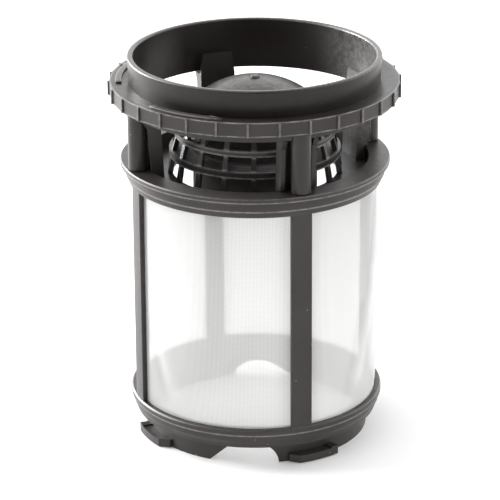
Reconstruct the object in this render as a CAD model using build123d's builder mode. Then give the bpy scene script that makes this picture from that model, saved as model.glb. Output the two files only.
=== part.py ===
from build123d import *

import os
from math import acos, cos, degrees, pi, radians, sin, sqrt

# Dishwasher filter, in millimetres. The origin is the middle of the circle it stands on and
# +Z is up. The front is the -Y side; angles are in degrees, counter-clockwise from +X.
# Radii are built up from the drum's, and heights from the foot, so that neighbours stay together.

# Drum frame: a mid ring and a bottom ring joined by four ribs, one moulding
drum_r = 43.3
window_h = 76.4
rib_w = 7.4
rib_skin = 1.6
rib_edge_round = 0.4
rib_back_w = 4.6
rib_back_depth = 1.1
first_quarter = 20.8
mid_ring_h = 7.4
lip_reach = 2.7
lip_h = 1.6
lip_bevel = 0.4
lip_cove = 0.6
waist_reach = 1.0
waist_top_drop = 3.0
waist_foot_drop = 5.2
band_reach = 0.4
band_drop = 5.8
seat_inset = 4.5
ledge_w = 1.6
ledge_h = 0.8
foot_reach = 0.4
foot_ring_h = 8.3
foot_edge_round = 0.5
foot_band_h = 2.1
foot_step = 0.4
foot_neck_inset = 0.7
foot_neck_h = 4.2
foot_heel_inset = 1.5
foot_heel_h = 5.7
foot_toe_inset = 1.8
foot_toe_h = 7.0
skirt_inset = 5.1
skirt_h = 5.9
skirt_wall = 1.6
arch_h = 5.7
front_arch_x = -2.8
front_arch_top_w = 14.4
front_arch_ramp_w = 6.0
front_arch_curve_w = 3.1
front_arch_curve_r = 7.4
back_arch_curve_w = 7.7
back_arch_top_w = 3.9
back_arch_ramp_w = 10.8
back_arch_ramp_r = 11.0

# Bayonet lugs on the skirt, in two opposite pairs
lug_reach = 3.6
lug_root = 0.4
lug_lift = 0.3
lug_h = 2.7
lug_span = 25.0
lug_lead_in = 4.5
lug_lead_reach = 1.2
lug_stop_span = 4.0
lug_stop_h = 0.4
lug_turn = 8.0

# Mesh sleeve, held in a groove round both rings and between the two skins of each rib
mesh_t = 0.4
mesh_fit = 0.05
mesh_bite = 1.8

# Upper collar: a collar, a grip flange and four posts, one moulding
collar_inset = 2.3
collar_wall = 1.5
collar_flare = 0.6
collar_rise = 8.8
collar_skirt = 8.7
collar_edge_round = 0.7
flange_reach = 6.4
flange_dish = 0.4
flange_plate = 2.0
flange_rim_w = 1.8
flange_rim_h = 5.4
flange_foot_step = 0.4
grip_count = 30
grip_phase = 3.2
grip_h = 4.8
grip_rib_w = 0.7
grip_rib_reach = 0.55
post_h = 27.2
post_r = 3.35
post_inset = 1.3
post_foot_bevel = 0.4
peg_r = 1.9
peg_len = 3.2
peg_fit = 0.1

# Coarse basket: a dome on a grid wall, a floor, a drain tube and four sprung legs, one moulding
floor_t = 1.6
floor_fit = 0.3
grid_inset = 8.5
grid_draw = 5.0
grid_h = 19.9
grid_bow = 1.4
bar_count = 18
bar_phase = 9.0
bar_w = 1.8
bar_t = 1.7
low_hoop_rise = 8.2
low_hoop_h = 2.2
high_hoop_rise = 14.9
high_hoop_h = 1.9
head_hoop_h = 1.2
hoop_t = 2.4
hoop_proud = 0.7
dome_rise = 12.5
dome_wall = 1.6
nub_r = 1.7
nub_h = 0.8
nub_bevel = 0.5
tube_inset = 8.8
tube_wall = 1.5
tube_drop = 6.5
web_t = 1.2
leg_w = 12.5
leg_wall = 1.6
leg_inset = 3.8
leg_lean = 1.7
leg_side_depth = 4.6
leg_side_lean = 1.0
leg_sink = 0.5
leg_gap = 0.3
barb_h = 3.2
barb_reach = 1.7
tab_rise = 7.2
tab_taper = 0.9
tab_round = 0.8

os.makedirs("parts", exist_ok=True)

quarters = [first_quarter + 90 * k for k in range(4)]
foot_top = skirt_h + foot_ring_h
mid_ring_base = foot_top + window_h
mid_ring_top = mid_ring_base + mid_ring_h
ledge_top = mid_ring_base + ledge_h
flange_top = mid_ring_top + post_h
collar_top = flange_top + collar_rise
collar_foot = flange_top - collar_skirt

seat_r = drum_r - seat_inset
waist_r = drum_r + waist_reach
foot_r = drum_r + foot_reach
skirt_r = foot_r - skirt_inset
groove_out = drum_r - rib_skin
mesh_r = groove_out - mesh_fit
groove_in = mesh_r - mesh_t - mesh_fit
groove_depth = mesh_bite + 2 * mesh_fit
back_r = groove_in - rib_back_depth
collar_bore_r = drum_r - collar_inset
collar_base_r = collar_bore_r + collar_wall
flange_r = collar_base_r + flange_reach
post_circle_r = drum_r - post_inset


def polar(radius, angle):
    """Point in plan at a radius and an angle in degrees."""
    return (radius * cos(radians(angle)), radius * sin(radians(angle)))


def sector(radius_in, radius_out, start, end):
    """Face of an annular sector between two angles."""
    with BuildSketch(mode=Mode.PRIVATE) as piece:
        with BuildLine():
            CenterArc((0, 0), radius_in, start, end - start)
            CenterArc((0, 0), radius_out, start, end - start)
            Line(polar(radius_in, start), polar(radius_out, start))
            Line(polar(radius_in, end), polar(radius_out, end))
        make_face()
    return piece.sketch


# Drum frame

with BuildPart() as drum_frame:
    # Mid ring, with the lip, the waist below it, the mesh groove and the basket ledge
    with BuildSketch(Plane.XZ):
        with BuildLine():
            lip_r = drum_r + lip_reach
            Polyline(
                (seat_r, mid_ring_top),
                (lip_r, mid_ring_top),
                (lip_r, mid_ring_top - lip_h),
                (waist_r + lip_cove, mid_ring_top - lip_h - lip_cove),
                (waist_r, mid_ring_top - waist_top_drop),
                (waist_r, mid_ring_top - waist_foot_drop),
                (drum_r + band_reach, mid_ring_top - band_drop),
                (drum_r, mid_ring_base),
                (groove_out, mid_ring_base),
                (groove_out, mid_ring_base + groove_depth),
                (groove_in, mid_ring_base + groove_depth),
                (groove_in, mid_ring_base),
                (seat_r - ledge_w, mid_ring_base),
                (seat_r - ledge_w, ledge_top),
                (seat_r, ledge_top),
                close=True,
            )
        profile = make_face()
        chamfer(profile.vertices().group_by(Axis.Y)[-1].sort_by(Axis.X)[-1], length=lip_bevel)
    revolve(axis=Axis.Z)
    # Bottom ring and the skirt that it tapers down to
    with BuildSketch(Plane.XZ):
        with BuildLine():
            Polyline(
                (skirt_r, 0),
                (skirt_r, skirt_h),
                (foot_r - foot_toe_inset, foot_top - foot_toe_h),
                (foot_r - foot_heel_inset, foot_top - foot_heel_h),
                (foot_r - foot_neck_inset, foot_top - foot_neck_h),
                (foot_r - foot_step, foot_top - foot_band_h - foot_step),
                (foot_r, foot_top - foot_band_h),
                (foot_r, foot_top - foot_edge_round),
                (foot_r - foot_edge_round, foot_top),
                (groove_out, foot_top),
                (groove_out, foot_top - groove_depth),
                (groove_in, foot_top - groove_depth),
                (groove_in, foot_top),
                (back_r, foot_top),
                (skirt_r - skirt_wall, foot_top - groove_depth),
                (skirt_r - skirt_wall, 0),
                close=True,
            )
        make_face()
    revolve(axis=Axis.Z)
    # Four ribs: an outer skin with rounded edges and a narrower skin behind the mesh
    for angle in quarters:
        outer_half = degrees(rib_w / 2 / drum_r)
        back_half = degrees(rib_back_w / 2 / drum_r)
        with BuildSketch(Plane.XY.offset(foot_top - mesh_fit)) as rib:
            add(sector(groove_out, drum_r, angle - outer_half, angle + outer_half))
            fillet(rib.vertices().sort_by_distance((0, 0, 0))[-2:], radius=rib_edge_round)
            add(sector(back_r, groove_in, angle - back_half, angle + back_half))
        extrude(amount=window_h + 2 * mesh_fit)
    # Drain arch through the front of the skirt: a ramp, a flat crown and a bulging curve
    with BuildSketch(Plane.XZ):
        with BuildLine():
            left = front_arch_x - front_arch_top_w / 2
            right = front_arch_x + front_arch_top_w / 2
            Polyline(
                (right + front_arch_curve_w, 0),
                (left - front_arch_ramp_w, 0),
                (left, arch_h),
                (right, arch_h),
            )
            RadiusArc((right, arch_h), (right + front_arch_curve_w, 0), front_arch_curve_r)
        make_face()
    extrude(amount=foot_r, mode=Mode.SUBTRACT)
    # Drain arch through the back: a wide elliptical curve on one side, a long ramp on the other
    with BuildSketch(Plane.XZ.rotated((0, 0, 180))):
        with BuildLine():
            crown = EllipticalCenterArc((0, 0), back_arch_curve_w, arch_h, arc_size=90)
            ramp = FilletPolyline(
                (0, arch_h),
                (-back_arch_top_w, arch_h),
                (-back_arch_top_w - back_arch_ramp_w, 0),
                radius=back_arch_ramp_r,
            )
            Line(ramp @ 1, crown @ 0)
        make_face()
    extrude(amount=foot_r, mode=Mode.SUBTRACT)
    # Bayonet lugs: the lead-in faces the front or back, the stop the side
    for angle, hand in zip(quarters, (1, -1, 1, -1)):
        middle = angle + lug_turn
        lead = middle + hand * lug_span / 2
        full = lead - hand * lug_lead_in
        stop = middle - hand * lug_span / 2
        stop_start = stop + hand * lug_stop_span
        root_r = skirt_r - lug_root
        lug_r = skirt_r + lug_reach
        with BuildSketch(Plane.XY.offset(lug_lift)):
            add(sector(root_r, lug_r, min(full, stop), max(full, stop)))
            with BuildLine():
                Polyline(
                    polar(root_r, full),
                    polar(lug_r, full),
                    polar(skirt_r + lug_lead_reach, lead),
                    polar(root_r, lead),
                    close=True,
                )
            make_face()
        extrude(amount=lug_h)
        with BuildSketch(Plane.XY.offset(lug_lift)):
            add(sector(root_r, lug_r, min(stop, stop_start), max(stop, stop_start)))
        extrude(amount=lug_h + lug_stop_h)
    # Four sockets for the pegs under the posts
    with BuildSketch(Plane.XY.offset(mid_ring_top)):
        for angle in quarters:
            with Locations(polar(post_circle_r, angle)):
                Circle(peg_r + peg_fit)
    extrude(amount=-(peg_len + 2 * peg_fit), mode=Mode.SUBTRACT)

drum_frame.part.label = "drum_frame"
export_step(drum_frame.part, "parts/drum_frame.step")


# Mesh sleeve

with BuildPart() as mesh_sleeve:
    with BuildSketch(Plane.XY.offset(foot_top - mesh_bite)):
        Circle(mesh_r)
        Circle(mesh_r - mesh_t, mode=Mode.SUBTRACT)
    extrude(amount=window_h + 2 * mesh_bite)

mesh_sleeve.part.label = "mesh_sleeve"
export_step(mesh_sleeve.part, "parts/mesh_sleeve.step")


# Upper collar

plate_foot = flange_top - flange_dish - flange_plate

with BuildPart() as upper_collar:
    # Collar wall and flange, dished on top, with a rim that hangs from its edge
    with BuildSketch(Plane.XZ):
        with BuildLine():
            Polyline(
                (collar_bore_r, collar_foot),
                (collar_base_r, collar_foot),
                (collar_base_r, plate_foot),
                (flange_r - flange_rim_w, plate_foot),
                (flange_r - flange_rim_w, flange_top - flange_rim_h),
                (flange_r - flange_foot_step, flange_top - flange_rim_h),
                (flange_r - flange_foot_step, flange_top),
                (flange_r - flange_rim_w, flange_top),
                (collar_base_r, flange_top - flange_dish),
                (collar_base_r + collar_flare, collar_top),
                (collar_bore_r, collar_top),
                close=True,
            )
        profile = make_face()
        fillet(profile.vertices().group_by(Axis.Y)[-1], radius=collar_edge_round)
    revolve(axis=Axis.Z)
    # Flat grip facets round the rim, with a narrow grip rib at each corner
    with BuildSketch(Plane.XY.offset(flange_top - grip_h)):
        RegularPolygon(flange_r, grip_count, major_radius=False, rotation=grip_phase)
        corner_r = flange_r / cos(pi / grip_count)
        with PolarLocations(corner_r, grip_count, start_angle=grip_phase):
            Rectangle(2 * grip_rib_reach, grip_rib_w)
        Circle(flange_r - flange_rim_w / 2, mode=Mode.SUBTRACT)
    extrude(amount=grip_h)
    # Four posts with bevelled feet, cut back to the bore where the collar begins
    with BuildSketch(Plane.XY.offset(mid_ring_top)) as post_plan:
        for angle in quarters:
            with Locations(polar(post_circle_r, angle)):
                Circle(post_r)
    extrude(amount=collar_foot - mid_ring_top)
    chamfer(upper_collar.edges().group_by(Axis.Z)[0], length=post_foot_bevel)
    with BuildSketch(Plane.XY.offset(collar_foot)):
        add(post_plan.sketch_local)
        Circle(collar_bore_r, mode=Mode.SUBTRACT)
    extrude(amount=plate_foot + flange_plate / 2 - collar_foot)
    # Pegs that plug the posts into the mid ring
    with BuildSketch(Plane.XY.offset(mid_ring_top - peg_len)):
        for angle in quarters:
            with Locations(polar(post_circle_r, angle)):
                Circle(peg_r)
    extrude(amount=peg_len + post_foot_bevel)

upper_collar.part.label = "upper_collar"
export_step(upper_collar.part, "parts/upper_collar.step")


# Coarse basket

floor_top = ledge_top + floor_t
floor_r = seat_r - floor_fit
grid_foot_r = floor_r - grid_inset
grid_head_r = grid_foot_r - grid_draw
grid_head = floor_top + grid_h
dome_r = (grid_head_r**2 + dome_rise**2) / (2 * dome_rise)
dome_centre = grid_head + dome_rise - dome_r
tube_r = grid_foot_r - tube_inset
low_hoop_top = floor_top + low_hoop_rise
high_hoop_top = floor_top + high_hoop_rise


def grid_r(height):
    """Outer radius of the grid wall at a height, an arc that draws in towards the dome."""
    share = (height - floor_top) / grid_h
    return grid_foot_r - grid_draw * share**grid_bow


# One leg, pointing along +X: a channel with barbed sides, ending in a finger tab
leg_foot_r = floor_r - leg_inset
leg_foot = floor_top - leg_sink
side_top = collar_foot - leg_gap
tab_top = side_top + tab_rise

with BuildPart() as leg:
    with BuildSketch(Plane.XZ):
        with BuildLine():
            Polyline(
                (leg_foot_r, leg_foot),
                (leg_foot_r + leg_wall, leg_foot),
                (leg_foot_r + leg_lean + leg_wall, tab_top),
                (leg_foot_r + leg_lean, tab_top),
                close=True,
            )
        make_face()
    extrude(amount=leg_w / 2, both=True)
    # The tab narrows to the top, with rounded corners
    with BuildSketch(Plane.YZ):
        with BuildLine():
            Polyline(
                (-leg_w / 2, leg_foot),
                (leg_w / 2, leg_foot),
                (leg_w / 2, side_top),
                (leg_w / 2 - tab_taper, tab_top),
                (tab_taper - leg_w / 2, tab_top),
                (-leg_w / 2, side_top),
                close=True,
            )
        outline = make_face()
        fillet(outline.vertices().group_by(Axis.Y)[-1], radius=tab_round)
    extrude(amount=drum_r, mode=Mode.INTERSECT)
    # The sides of the channel stand on the floor and reach out over the mid ring
    inside_r = sqrt(floor_r**2 - (leg_w / 2) ** 2)
    side_foot_r = leg_foot_r + leg_side_depth
    side_top_r = side_foot_r + leg_side_lean
    for side in (-1, 1):
        with BuildSketch(Plane.XZ.offset(side * (leg_w - leg_wall) / 2)):
            with BuildLine():
                Polyline(
                    (leg_foot_r + leg_wall / 2, leg_foot),
                    (inside_r, leg_foot),
                    (inside_r, mid_ring_top + leg_gap),
                    (side_foot_r, mid_ring_top + leg_gap),
                    (side_top_r, side_top - barb_h),
                    (side_top_r + barb_reach, side_top),
                    (leg_foot_r + leg_wall, side_top),
                    close=True,
                )
            make_face()
        extrude(amount=leg_wall / 2, both=True)

with BuildPart() as coarse_basket:
    # Floor
    with BuildSketch(Plane.XY.offset(ledge_top)):
        Circle(floor_r)
        Circle(grid_foot_r - bar_t, mode=Mode.SUBTRACT)
    extrude(amount=floor_t)
    # Grid wall, with its windows cut through between bars and hoops
    with BuildSketch(Plane.XZ):
        with BuildLine():
            heights = [floor_top, low_hoop_top, high_hoop_top, grid_head]
            outside = [(grid_r(height), height) for height in heights]
            inside = [(grid_r(height) - bar_t, height) for height in reversed(heights)]
            Polyline(*outside, *inside, close=True)
        make_face()
    revolve(axis=Axis.Z)
    window_floors = [floor_top, low_hoop_top, high_hoop_top]
    window_tops = [low_hoop_top - low_hoop_h, high_hoop_top - high_hoop_h, grid_head - head_hoop_h]
    window_phase = bar_phase + 180 / bar_count
    for low, high in zip(window_floors, window_tops):
        middle_r = grid_r((low + high) / 2)
        width = 2 * pi * middle_r / bar_count - bar_w
        with BuildSketch(Plane.XY.offset(low)):
            with PolarLocations(middle_r, bar_count, start_angle=window_phase):
                Rectangle(grid_draw + 2 * bar_t, width)
        extrude(amount=high - low, mode=Mode.SUBTRACT)
    for top, thick in ((low_hoop_top, low_hoop_h), (high_hoop_top, high_hoop_h)):
        with BuildSketch(Plane.XY.offset(top - thick)):
            Circle(grid_r(top) + hoop_proud)
            Circle(grid_r(top) + hoop_proud - hoop_t, mode=Mode.SUBTRACT)
        extrude(amount=thick)
    # Dome with a moulding nub on its crown
    with BuildSketch(Plane.XZ):
        with BuildLine():
            inner_dome_r = dome_r - dome_wall
            inner_head_r = grid_head_r - bar_t
            rim_angle = degrees(acos(grid_head_r / dome_r))
            shoulder_angle = degrees(acos(inner_head_r / inner_dome_r))
            dome_outside = CenterArc((0, dome_centre), dome_r, rim_angle, 90 - rim_angle)
            inside_turn = 90 - shoulder_angle
            dome_inside = CenterArc((0, dome_centre), inner_dome_r, shoulder_angle, inside_turn)
            Polyline(
                dome_outside @ 0,
                (grid_head_r, grid_head - head_hoop_h),
                (inner_head_r, grid_head - head_hoop_h),
                dome_inside @ 0,
            )
            Line(dome_inside @ 1, dome_outside @ 1)
        make_face()
    revolve(axis=Axis.Z)
    with BuildSketch(Plane.XY.offset(dome_centre + dome_r - dome_wall / 2)):
        Circle(nub_r)
    extrude(amount=nub_h + dome_wall / 2)
    chamfer(coarse_basket.edges().group_by(Axis.Z)[-1], length=nub_bevel)
    # Web across the lower hoop, with the drain tube that hangs from it
    with BuildSketch(Plane.XY.offset(low_hoop_top - web_t)):
        Circle(grid_r(low_hoop_top) - bar_t / 2)
        Circle(tube_r - tube_wall, mode=Mode.SUBTRACT)
    extrude(amount=web_t)
    with BuildSketch(Plane.XY.offset(ledge_top - tube_drop)):
        Circle(tube_r)
        Circle(tube_r - tube_wall, mode=Mode.SUBTRACT)
    extrude(amount=low_hoop_top - ledge_top + tube_drop)
    for angle in quarters:
        add(leg.part.rotate(Axis.Z, angle))

coarse_basket.part.label = "coarse_basket"
export_step(coarse_basket.part, "parts/coarse_basket.step")
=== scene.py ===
import math

import bpy
from mathutils import Matrix, Vector


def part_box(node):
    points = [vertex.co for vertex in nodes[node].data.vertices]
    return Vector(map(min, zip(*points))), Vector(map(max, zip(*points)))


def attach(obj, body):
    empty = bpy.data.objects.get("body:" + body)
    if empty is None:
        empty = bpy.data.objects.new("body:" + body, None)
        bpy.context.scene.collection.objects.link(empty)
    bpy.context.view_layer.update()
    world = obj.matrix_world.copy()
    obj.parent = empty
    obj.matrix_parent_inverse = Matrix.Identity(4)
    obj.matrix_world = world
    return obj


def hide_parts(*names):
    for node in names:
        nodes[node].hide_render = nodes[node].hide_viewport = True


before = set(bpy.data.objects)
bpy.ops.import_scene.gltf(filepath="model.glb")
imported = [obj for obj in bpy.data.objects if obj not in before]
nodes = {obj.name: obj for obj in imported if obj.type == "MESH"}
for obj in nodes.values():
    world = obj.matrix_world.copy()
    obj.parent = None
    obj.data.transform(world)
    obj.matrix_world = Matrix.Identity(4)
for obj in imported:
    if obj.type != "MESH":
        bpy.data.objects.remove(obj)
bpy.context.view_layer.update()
bpy.ops.object.select_all(action="DESELECT")


# Camera: a long lens about a metre away, which looks some twenty degrees down on the filter
# and is tilted a hair to one side.
camera_place = Vector((-0.00191, -0.90523, 0.41038))
camera_pitch = math.radians(21.0)
camera_roll = math.radians(-0.334)
bpy.ops.object.camera_add(location=camera_place)
camera = bpy.context.object
camera.name = "camera"
camera.data.sensor_width = 36.0
camera.data.lens = 202.1
camera.data.clip_start = 0.05
camera.data.clip_end = 60.0
camera.matrix_world = (
    Matrix.Translation(camera_place)
    @ Matrix.Rotation(math.radians(90) - camera_pitch, 4, "X")
    @ Matrix.Rotation(camera_roll, 4, "Z")
)
bpy.context.scene.camera = camera


# Drum frame: the ribbed cage of the filter, one moulding in charcoal polypropylene.
# The steel of the mould leaves faint draw marks along the height and a fine even grain, the
# colour drifts a little from place to place, and the outer faces and edges are paled, partly by
# use and partly with a painted highlight.
def worked_out(tree, operation, first, second):
    step = tree.nodes.new("ShaderNodeMath")
    step.operation = operation
    tree.links.new(first, step.inputs[0])
    if isinstance(second, float):
        step.inputs[1].default_value = second
    else:
        tree.links.new(second, step.inputs[1])
    return step.outputs["Value"]


def faded(tree, value, low, high, start=0.0, end=1.0, smooth=True):
    fade = tree.nodes.new("ShaderNodeMapRange")
    fade.interpolation_type = "SMOOTHSTEP" if smooth else "LINEAR"
    fade.inputs["From Min"].default_value = low
    fade.inputs["From Max"].default_value = high
    fade.inputs["To Min"].default_value = start
    fade.inputs["To Max"].default_value = end
    tree.links.new(value, fade.inputs["Value"])
    return fade.outputs["Result"]


def mottle(tree, place, scale, detail, roughness=0.5):
    speckle = tree.nodes.new("ShaderNodeTexNoise")
    speckle.inputs["Scale"].default_value = scale
    speckle.inputs["Detail"].default_value = detail
    speckle.inputs["Roughness"].default_value = roughness
    tree.links.new(place, speckle.inputs["Vector"])
    return speckle.outputs["Fac"]


# A colour laid over another: a mix node keeps its two colours in sockets 6 and 7
def laid_over(tree, share, under, colour):
    layer = tree.nodes.new("ShaderNodeMix")
    layer.data_type = "RGBA"
    layer.inputs[7].default_value = (*colour, 1.0)
    tree.links.new(share, layer.inputs[0])
    tree.links.new(under, layer.inputs[6])
    return layer.outputs[2]


# The surface's place across and up, and its distance from the filter's axis
def place_on_filter(tree, place):
    parts = tree.nodes.new("ShaderNodeSeparateXYZ")
    tree.links.new(place, parts.inputs["Vector"])
    flat = tree.nodes.new("ShaderNodeCombineXYZ")
    tree.links.new(parts.outputs["X"], flat.inputs["X"])
    tree.links.new(parts.outputs["Y"], flat.inputs["Y"])
    reach = tree.nodes.new("ShaderNodeVectorMath")
    reach.operation = "LENGTH"
    tree.links.new(flat.outputs["Vector"], reach.inputs[0])
    return parts, reach.outputs["Value"]


def moulded_plastic(name, dark, pale, gloss_level, rough, rubbed_and_highlit_edges, edge_width, rubbed_and_highlit_from):
    # Paler colour of rubbed wear and of the painted highlight on edges and outer faces
    rub_and_highlight_colour = (0.22, 0.205, 0.195)
    rub_and_highlight_depth = 0.0003
    rub_and_highlight_of_faces = 0.6
    lime_grain_colour = (0.42, 0.41, 0.39)
    lime_grain_size = 0.03
    draw_mark_stretch = 0.05

    finish = bpy.data.materials.new(name)
    finish.use_nodes = True
    tree = finish.node_tree
    shader = tree.nodes["Principled BSDF"]
    shader.inputs["Specular IOR Level"].default_value = gloss_level
    place = tree.nodes.new("ShaderNodeTexCoord").outputs["Object"]
    parts, reach = place_on_filter(tree, place)

    tone = tree.nodes.new("ShaderNodeValToRGB")
    tone.color_ramp.elements[0].position = 0.3
    tone.color_ramp.elements[0].color = (*dark, 1.0)
    tone.color_ramp.elements[1].position = 0.72
    tone.color_ramp.elements[1].color = (*pale, 1.0)
    tree.links.new(mottle(tree, place, scale=70.0, detail=5.0), tone.inputs["Fac"])

    # Wear and painted highlight: the outermost faces and each edge, given by distance from the axis
    # and height, are paled partly by rubbing and partly with a painted highlight
    section = tree.nodes.new("ShaderNodeCombineXYZ")
    tree.links.new(reach, section.inputs["X"])
    tree.links.new(parts.outputs["Z"], section.inputs["Y"])
    wear_and_highlight = faded(tree, reach, rubbed_and_highlit_from, rubbed_and_highlit_from + rub_and_highlight_depth, end=rub_and_highlight_of_faces)
    for edge_reach, edge_height in rubbed_and_highlit_edges:
        gap = tree.nodes.new("ShaderNodeVectorMath")
        gap.operation = "DISTANCE"
        gap.inputs[1].default_value = (edge_reach, edge_height, 0.0)
        tree.links.new(section.outputs["Vector"], gap.inputs[0])
        distance = gap.outputs["Value"]
        near = faded(tree, distance, 0.25 * edge_width, edge_width, start=1.0, end=0.0)
        wear_and_highlight = worked_out(tree, "MAXIMUM", wear_and_highlight, near)
    scuffs = mottle(tree, place, scale=420.0, detail=6.0, roughness=0.7)
    patchy = faded(tree, scuffs, 0.32, 0.58, start=0.25, smooth=False)
    worn_and_highlit = worked_out(tree, "MULTIPLY", wear_and_highlight, patchy)
    rubbed_and_highlit = laid_over(tree, worn_and_highlit, tone.outputs["Color"], rub_and_highlight_colour)

    # Stray grains of lime, a few on each face
    grains = tree.nodes.new("ShaderNodeTexVoronoi")
    grains.inputs["Scale"].default_value = 190.0
    tree.links.new(place, grains.inputs["Vector"])
    small = worked_out(tree, "LESS_THAN", grains.outputs["Distance"], lime_grain_size)
    limed = laid_over(tree, small, rubbed_and_highlit, lime_grain_colour)
    tree.links.new(limed, shader.inputs["Base Color"])

    gloss = faded(tree, scuffs, 0.3, 0.75, start=rough[0], end=rough[1], smooth=False)
    tree.links.new(gloss, shader.inputs["Roughness"])

    stretch = tree.nodes.new("ShaderNodeMapping")
    stretch.inputs["Scale"].default_value = (1.0, 1.0, draw_mark_stretch)
    tree.links.new(place, stretch.inputs["Vector"])
    draw_marks = mottle(tree, stretch.outputs["Vector"], scale=900.0, detail=2.0)
    grain = mottle(tree, place, scale=2600.0, detail=2.0)
    relief = tree.nodes.new("ShaderNodeMix")
    relief.data_type = "FLOAT"
    relief.inputs[0].default_value = 0.4
    tree.links.new(grain, relief.inputs[2])
    tree.links.new(draw_marks, relief.inputs[3])
    bump = tree.nodes.new("ShaderNodeBump")
    bump.inputs["Strength"].default_value = 0.3
    bump.inputs["Distance"].default_value = 0.00005
    tree.links.new(relief.outputs[0], bump.inputs["Height"])
    tree.links.new(bump.outputs["Normal"], shader.inputs["Normal"])
    return finish


def dress(node_name, finish):
    nodes[node_name].data.materials.clear()
    nodes[node_name].data.materials.append(finish)


frame_finish = moulded_plastic(
    "charcoal frame plastic",
    dark=(0.0245, 0.0208, 0.0195),
    pale=(0.0350, 0.0305, 0.0289),
    gloss_level=0.34,
    rough=(0.32, 0.46),
    rubbed_and_highlit_edges=(
        (0.0460, 0.0980),
        (0.0460, 0.0964),
        (0.0443, 0.0928),
        (0.0437, 0.0142),
        (0.0437, 0.0121),
    ),
    edge_width=0.0005,
    rubbed_and_highlit_from=0.0470,
)
dress("drum_frame", frame_finish)


# Mesh cloth: a woven nylon sieve, fixed round the drum under its ribs and gripped by both
# rings. It is drawn tight, but each panel still swells a little and has taken soft creases
# from handling.
cloth_low, cloth_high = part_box("mesh_sleeve")
cloth_foot = cloth_low.z
cloth_height = cloth_high.z - cloth_low.z
cloth_r = 0.04145
cloth_across = 320
cloth_up = 80
first_rib = math.radians(20.8)
rib_half = math.radians(5.2)
quarter_turn = math.tau / 4
free_turn = quarter_turn - 2 * rib_half
grip = 0.0022
thread_pitch = 0.00045
panel_swell = (0.0004, 0.0006, 0.0007, 0.0007)
ripple_depth = 0.00012
ripples_across = 1.7
ripples_up = 0.35
ripple_start = 1.7
# Painted shade along the ribs, and painted light and shade on the creases, carried in the tone
# attribute
rib_shade_width = 0.0034
rib_shade_strength = 0.9
crease_painted_light = 1200.0
crease_run_out = 2.5
# Each crease: bearing from the front in degrees and height of its two ends, how far it
# stands out, and half its width
creases = (
    ((78.0, 0.084), (66.0, 0.054), -0.0008, 0.0026),
    ((72.0, 0.060), (54.0, 0.026), 0.0009, 0.0036),
    ((90.0, 0.066), (72.0, 0.032), 0.0006, 0.0032),
    ((60.0, 0.050), (48.0, 0.022), -0.0006, 0.0026),
    ((-60.0, 0.086), (-58.0, 0.046), -0.0005, 0.0018),
    ((-54.0, 0.086), (-53.0, 0.044), 0.0006, 0.0020),
    ((-62.0, 0.044), (-49.0, 0.019), -0.0008, 0.0026),
    ((-55.0, 0.048), (-42.0, 0.024), 0.0006, 0.0030),
)

bpy.ops.mesh.primitive_grid_add(x_subdivisions=cloth_across, y_subdivisions=cloth_up, size=1)
cloth = bpy.context.object
cloth.name = "mesh_cloth"
cloth_painted_light = cloth.data.attributes.new("tone", "FLOAT", "POINT")
for vertex in cloth.data.vertices:
    turn = (vertex.co.x + 0.5) * math.tau
    height = (vertex.co.y + 0.5) * cloth_height
    panel, along = divmod((turn - first_rib) % math.tau, quarter_turn)
    share = min(max((along - rib_half) / free_turn, 0.0), 1.0)
    rise = min(max((height - grip) / (cloth_height - 2 * grip), 0.0), 1.0)
    hump = math.sin(math.pi * share) ** 0.6 * math.sin(math.pi * rise) ** 0.5
    wave = math.sin(
        math.tau * (ripples_across * share + ripples_up * rise) + ripple_start * panel
    )
    pinch = math.sin(math.pi * share) * math.sin(math.pi * rise)
    radius = cloth_r + panel_swell[int(panel)] * hump + ripple_depth * wave * pinch
    bearing = (math.degrees(turn) + 90.0 + 180.0) % 360.0 - 180.0
    here = Vector((math.radians(bearing) * cloth_r, cloth_foot + height))
    # Painted shade greys the cloth along the ribs; painted light brightens a crease that stands
    # out, and painted shade darkens one that sinks in
    from_rib = min(share, 1.0 - share) * free_turn * cloth_r
    tone = -rib_shade_strength * math.exp(-((from_rib / rib_shade_width) ** 2))
    for start, end, depth, half_width in creases:
        first = Vector((math.radians(start[0]) * cloth_r, start[1]))
        run = Vector((math.radians(end[0]) * cloth_r, end[1])) - first
        part = min(max((here - first).dot(run) / run.length_squared, 0.0), 1.0)
        off = (here - first - run * part).length / half_width
        swell = math.exp(-off * off) * min(1.0, crease_run_out * pinch)
        radius += depth * swell
        tone += depth * crease_painted_light * swell
    cloth_painted_light.data[vertex.index].value = tone
    vertex.co = Vector((radius * math.cos(turn), radius * math.sin(turn), cloth_foot + height))
bpy.ops.object.mode_set(mode="EDIT")
bpy.ops.mesh.select_all(action="SELECT")
bpy.ops.mesh.remove_doubles(threshold=0.00002)
bpy.ops.mesh.normals_make_consistent(inside=False)
bpy.ops.object.mode_set(mode="OBJECT")
bpy.ops.object.shade_smooth()


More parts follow.
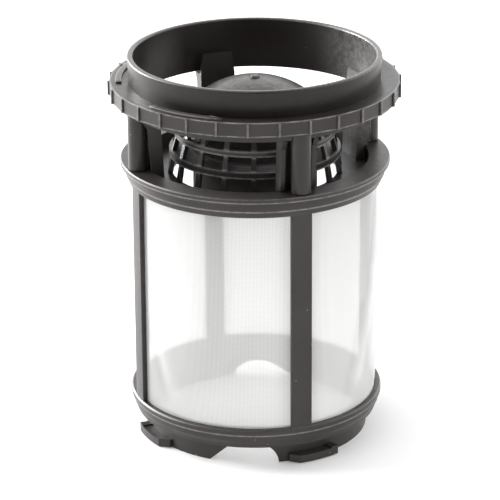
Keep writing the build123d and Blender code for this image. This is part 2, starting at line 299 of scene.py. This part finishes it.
def woven_mesh(name, threads_round, threads_up):
    warp_cover = 0.2
    weft_cover = 0.12
    gap_cover = 0.64
    light_through = 0.56

    finish = bpy.data.materials.new(name)
    finish.use_nodes = True
    tree = finish.node_tree
    shader = tree.nodes["Principled BSDF"]
    shader.inputs["Roughness"].default_value = 0.6
    shader.inputs["Specular IOR Level"].default_value = 0.12

    # The tone attribute carries the painted light and shade of the creases and the ribs
    tone = tree.nodes.new("ShaderNodeAttribute")
    tone.attribute_name = "tone"
    shade = faded(tree, tone.outputs["Fac"], -1.0, 1.0, smooth=False)

    def yarn_colour(shaded_end, lit_end):
        yarn = tree.nodes.new("ShaderNodeMix")
        yarn.data_type = "RGBA"
        yarn.inputs[6].default_value = (*shaded_end, 1.0)
        yarn.inputs[7].default_value = (*lit_end, 1.0)
        tree.links.new(shade, yarn.inputs[0])
        return yarn.outputs[2]

    diffuse_yarn = yarn_colour((0.50, 0.50, 0.497), (0.86, 0.86, 0.855))
    tree.links.new(diffuse_yarn, shader.inputs["Base Color"])

    place = tree.nodes.new("ShaderNodeUVMap")
    split = tree.nodes.new("ShaderNodeSeparateXYZ")
    tree.links.new(place.outputs["UV"], split.inputs["Vector"])

    # Threads side by side: each is densest at its middle and thins out to the gap beside it
    def threads(axis, count, cover):
        run = worked_out(tree, "MULTIPLY", split.outputs[axis], float(count))
        from_middle = worked_out(tree, "PINGPONG", run, 0.5)
        return faded(tree, from_middle, 0.14, 0.32, start=cover, end=0.0)

    cover = worked_out(
        tree,
        "ADD",
        threads("X", threads_round, warp_cover),
        threads("Y", threads_up, weft_cover),
    )
    film = worked_out(tree, "ADD", cover, gap_cover)

    glow = tree.nodes.new("ShaderNodeBsdfTranslucent")
    glowing_yarn = yarn_colour((0.78, 0.78, 0.775), (1.0, 1.0, 0.995))
    tree.links.new(glowing_yarn, glow.inputs["Color"])
    thread_look = tree.nodes.new("ShaderNodeMixShader")
    thread_look.inputs["Fac"].default_value = light_through
    tree.links.new(shader.outputs["BSDF"], thread_look.inputs[1])
    tree.links.new(glow.outputs["BSDF"], thread_look.inputs[2])
    clear = tree.nodes.new("ShaderNodeBsdfTransparent")
    holes = tree.nodes.new("ShaderNodeMixShader")
    tree.links.new(film, holes.inputs["Fac"])
    tree.links.new(clear.outputs["BSDF"], holes.inputs[1])
    tree.links.new(thread_look.outputs["Shader"], holes.inputs[2])
    tree.links.new(holes.outputs["Shader"], tree.nodes["Material Output"].inputs["Surface"])
    bump = tree.nodes.new("ShaderNodeBump")
    bump.inputs["Strength"].default_value = 0.3
    bump.inputs["Distance"].default_value = 0.00006
    tree.links.new(cover, bump.inputs["Height"])
    tree.links.new(bump.outputs["Normal"], shader.inputs["Normal"])
    return finish


cloth_finish = woven_mesh(
    "woven sieve",
    threads_round=round(math.tau * cloth_r / thread_pitch),
    threads_up=round(cloth_height / thread_pitch),
)
cloth.data.materials.append(cloth_finish)
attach(cloth, "root")
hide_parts("mesh_sleeve")


# Upper collar: the grip ring that a hand turns, with flat facets and narrow grip ribs round
# its edge, and the four posts that carry it, one moulding in the plastic of the frame. The
# rim and the corners of the facets are the most rubbed, and carry a painted highlight too.
collar_finish = moulded_plastic(
    "charcoal collar plastic",
    dark=(0.0225, 0.0184, 0.0170),
    pale=(0.0325, 0.0276, 0.0258),
    gloss_level=0.32,
    rough=(0.28, 0.40),
    rubbed_and_highlit_edges=((0.0488, 0.1252), (0.0488, 0.1204), (0.0431, 0.1340), (0.0410, 0.1340)),
    edge_width=0.0005,
    rubbed_and_highlit_from=0.0491,
)
dress("upper_collar", collar_finish)


# A layer of colour grows from nothing to its full strength between two places along an axis,
# and lies only within a distance of the filter's axis; it lays real lime, and painted light and
# shade as well
def coat_and_painted_light(finish, colour, axis, bare, covered, inner_reach, strength, patchiness):
    tree = finish.node_tree
    base = tree.nodes["Principled BSDF"].inputs["Base Color"]
    under = base.links[0].from_socket
    place = tree.nodes.new("ShaderNodeTexCoord").outputs["Object"]
    parts, reach = place_on_filter(tree, place)
    along = faded(tree, parts.outputs[axis], bare, covered, end=strength)
    blots = mottle(tree, place, scale=480.0, detail=5.0, roughness=0.75)
    thick = faded(tree, blots, 0.38, 0.66, start=1.0 - patchiness, smooth=False)
    share = worked_out(tree, "MULTIPLY", along, thick)
    inside = worked_out(tree, "LESS_THAN", reach, inner_reach)
    kept = worked_out(tree, "MULTIPLY", share, inside)
    tree.links.new(laid_over(tree, kept, under, colour), base)


# Painted shade darkens the collar's wall, inside and out, towards its rim; lime speckles and
# painted light pale its right side inside; and its rim is rubbed and carries a painted highlight
lime_and_painted_light = (0.33, 0.32, 0.305)
collar_wall_painted_shade = (0.007, 0.0045, 0.0035)
rim_rub_and_highlight = (0.16, 0.145, 0.135)
coat_and_painted_light(
    collar_finish,
    collar_wall_painted_shade,
    "Z",
    bare=0.1170,
    covered=0.1300,
    inner_reach=0.0434,
    strength=0.8,
    patchiness=0.2,
)
# Lime speckles and painted light pale the collar's inner wall on its right side
coat_and_painted_light(
    collar_finish,
    lime_and_painted_light,
    "X",
    bare=0.020,
    covered=0.041,
    inner_reach=0.0416,
    strength=0.6,
    patchiness=0.75,
)
coat_and_painted_light(
    collar_finish,
    rim_rub_and_highlight,
    "Z",
    bare=0.1334,
    covered=0.1340,
    inner_reach=0.0450,
    strength=0.6,
    patchiness=0.4,
)


# Turning marks: two raised arrows moulded into the top of the flange, which show the way
# that the filter is turned. Each is a curved bar with a broad head and softened edges.
mark_reach = 0.0460
mark_rise = 0.0005
mark_sunk = 0.0002
mark_edge = 0.00012
bar_width = 0.0021
bar_steps = 22
neck_length = 0.0003
head_length = 0.0046
head_flare = 2.2
flange_top = 0.1252
mark_finish = moulded_plastic(
    "charcoal mark plastic",
    dark=(0.052, 0.0470, 0.0440),
    pale=(0.085, 0.0780, 0.0740),
    gloss_level=0.34,
    rough=(0.28, 0.40),
    rubbed_and_highlit_edges=((0.0470, 0.1257), (0.0450, 0.1257)),
    edge_width=0.0004,
    rubbed_and_highlit_from=0.0491,
)


def turning_arrow(name, tail_bearing, tip_bearing):
    tail = math.radians(tail_bearing - 90.0)
    sweep = math.radians(tip_bearing - tail_bearing)
    way = math.copysign(1.0, sweep)
    bar_sweep = sweep - way * head_length / mark_reach
    bpy.ops.object.select_all(action="DESELECT")
    bpy.ops.mesh.primitive_plane_add(
        size=bar_width,
        location=(mark_reach * math.cos(tail), mark_reach * math.sin(tail), flange_top + mark_rise),
        rotation=(0.0, 0.0, tail),
    )
    arrow = bpy.context.object
    arrow.name = name
    bpy.ops.object.transform_apply(location=True, rotation=True, scale=True)

    # The plane's leading edge is spun into the bar, then pulled out into the head
    bpy.ops.object.mode_set(mode="EDIT")
    bpy.ops.mesh.select_mode(type="EDGE")
    bpy.ops.mesh.select_all(action="DESELECT")
    bpy.ops.object.mode_set(mode="OBJECT")
    onward = Vector((-math.sin(tail), math.cos(tail), 0.0)) * way
    front = max(
        arrow.data.edges,
        key=lambda edge: sum(arrow.data.vertices[i].co.dot(onward) for i in edge.vertices),
    )
    front.select = True
    bpy.ops.object.mode_set(mode="EDIT")
    bpy.ops.mesh.spin(
        steps=bar_steps, angle=-bar_sweep, center=(0.0, 0.0, flange_top), axis=(0.0, 0.0, 1.0)
    )
    at = tail + bar_sweep + bar_width / 2 / mark_reach * way
    forward = Vector((-math.sin(at), math.cos(at), 0.0)) * way
    bpy.ops.mesh.extrude_edges_move(TRANSFORM_OT_translate={"value": forward * neck_length})
    bpy.ops.transform.resize(value=(head_flare, head_flare, head_flare))
    bpy.ops.mesh.extrude_edges_move(TRANSFORM_OT_translate={"value": forward * head_length})
    bpy.ops.mesh.merge(type="CENTER")
    bpy.ops.mesh.select_all(action="SELECT")
    bpy.ops.mesh.remove_doubles(threshold=0.00001)
    bpy.ops.mesh.normals_make_consistent(inside=False)
    bpy.ops.object.mode_set(mode="OBJECT")
    if arrow.data.polygons[0].normal.z < 0:
        bpy.ops.object.mode_set(mode="EDIT")
        bpy.ops.mesh.flip_normals()
        bpy.ops.object.mode_set(mode="OBJECT")

    thicken = arrow.modifiers.new("depth", "SOLIDIFY")
    thicken.thickness = mark_rise + mark_sunk
    thicken.offset = -1.0
    soften = arrow.modifiers.new("soft edges", "BEVEL")
    soften.width = mark_edge
    soften.segments = 2
    soften.angle_limit = math.radians(40)
    bpy.ops.object.modifier_apply(modifier="depth")
    bpy.ops.object.modifier_apply(modifier="soft edges")
    bpy.ops.object.shade_smooth_by_angle(angle=math.radians(35))
    arrow.data.materials.append(mark_finish)
    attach(arrow, "root")


turning_arrow("turning_arrow_front", tail_bearing=-46.0, tip_bearing=-15.0)
turning_arrow("turning_arrow_left", tail_bearing=-85.0, tip_bearing=-112.0)


# Coarse basket: the domed strainer that snaps in between the posts, a darker moulding in
# the same polypropylene. Its crown carries a thin chalky bloom, the edges of its hoops carry
# painted highlights, and painted light pales its legs at its right.
basket_finish = moulded_plastic(
    "dark basket plastic",
    dark=(0.018, 0.0152, 0.0142),
    pale=(0.028, 0.0242, 0.0228),
    gloss_level=0.34,
    rough=(0.30, 0.42),
    rubbed_and_highlit_edges=((0.02864, 0.1012), (0.0292, 0.0990), (0.02743, 0.1060), (0.02696, 0.1079)),
    edge_width=0.0008,
    rubbed_and_highlit_from=0.0470,
)
dress("coarse_basket", basket_finish)
coat_and_painted_light(
    basket_finish,
    lime_and_painted_light,
    "Z",
    bare=0.1150,
    covered=0.1215,
    inner_reach=0.0235,
    strength=0.3,
    patchiness=0.75,
)
# Painted light: the basket's right side is paler, where the light falls on its legs
coat_and_painted_light(
    basket_finish,
    lime_and_painted_light,
    "X",
    bare=0.0240,
    covered=0.0360,
    inner_reach=0.0500,
    strength=0.24,
    patchiness=0.75,
)

# Painted shade: the tube inside the grid is painted near black, for the shade deep inside the
# grid, and it is made dull
tube_painted_shade = (0.007, 0.0052, 0.0045)
tube_roughness = 0.85
tube_reach = 0.0218
tube_top = 0.1140
tube = basket_finish.node_tree
tube_base = tube.nodes["Principled BSDF"].inputs["Base Color"]
tube_gloss = tube.nodes["Principled BSDF"].inputs["Roughness"]
tube_place = tube.nodes.new("ShaderNodeTexCoord").outputs["Object"]
tube_parts, tube_distance = place_on_filter(tube, tube_place)
tube_shade_share = worked_out(
    tube,
    "MULTIPLY",
    worked_out(tube, "LESS_THAN", tube_distance, tube_reach),
    worked_out(tube, "LESS_THAN", tube_parts.outputs["Z"], tube_top),
)
shade_painted_on_tube = laid_over(tube, tube_shade_share, tube_base.links[0].from_socket, tube_painted_shade)
tube.links.new(shade_painted_on_tube, tube_base)
dulled = tube.nodes.new("ShaderNodeMix")
dulled.data_type = "FLOAT"
dulled.inputs[3].default_value = tube_roughness
tube.links.new(tube_shade_share, dulled.inputs[0])
tube.links.new(tube_gloss.links[0].from_socket, dulled.inputs[2])
tube.links.new(dulled.outputs[0], tube_gloss)


# Table top: a broad white board on which the filter stands. It glows faintly, so that it
# runs into the white of the walls without an edge.
table_size = 14.0
table_middle = (0.0, 3.0, 0.0)
bpy.ops.mesh.primitive_plane_add(size=table_size, location=table_middle)
table = bpy.context.object
table.name = "table_top"
board = bpy.data.materials.new("white board")
board.use_nodes = True
board_shader = board.node_tree.nodes["Principled BSDF"]
board_shader.inputs["Base Color"].default_value = (0.92, 0.92, 0.92, 1.0)
board_shader.inputs["Roughness"].default_value = 0.75
board_shader.inputs["Specular IOR Level"].default_value = 0.2
board_shader.inputs["Emission Color"].default_value = (1.0, 1.0, 1.0, 1.0)
board_shader.inputs["Emission Strength"].default_value = 0.1
table.data.materials.append(board)


# Light: a white studio whose back and side walls are lit and whose front is dim, so that the
# near sides of the filter stay dark and the turned-away ones shine. One large soft lamp
# stands high at its left, and a low one behind it only gives the plastic its sheen.
room_dim = 0.17
room_walls = (
    ((0.0, 1.0, 0.0), 2.0),
    ((-1.0, 0.0, 0.0), 1.2),
    ((1.0, 0.0, 0.0), 1.87),
)
world = bpy.data.worlds.new("white studio")
bpy.context.scene.world = world
world.use_nodes = True
room = world.node_tree
toward = room.nodes.new("ShaderNodeTexCoord")
brightness = None
for facing, strength in room_walls:
    across = room.nodes.new("ShaderNodeVectorMath")
    across.operation = "DOT_PRODUCT"
    across.inputs[1].default_value = facing
    room.links.new(toward.outputs["Generated"], across.inputs[0])
    if brightness is None:
        brightness = faded(room, across.outputs["Value"], 0.0, 1.0, start=room_dim, end=strength)
    else:
        wall = faded(room, across.outputs["Value"], 0.0, 1.0, end=strength)
        brightness = worked_out(room, "ADD", brightness, wall)
room.links.new(brightness, room.nodes["Background"].inputs["Strength"])
room.nodes["Background"].inputs["Color"].default_value = (1.0, 1.0, 1.0, 1.0)


def soft_lamp(name, place, aim_height, size, energy):
    bpy.ops.object.light_add(type="AREA", location=place)
    lamp = bpy.context.object
    lamp.name = name
    lamp.data.shape = "DISK"
    lamp.data.size = size
    lamp.data.energy = energy
    aim = Vector((0.0, 0.0, aim_height)) - Vector(place)
    lamp.rotation_euler = aim.to_track_quat("-Z", "Y").to_euler()
    return lamp


soft_lamp("key_lamp", (-1.3, 0.4, 0.85), aim_height=0.06, size=1.0, energy=31.0)
sheen_lamp = soft_lamp("gleam_lamp", (-1.1, 0.75, 0.2), aim_height=0.11, size=0.8, energy=60.0)
sheen_lamp.visible_diffuse = False
sheen_lamp.visible_transmission = False
bpy.context.scene.view_settings.view_transform = "Standard"
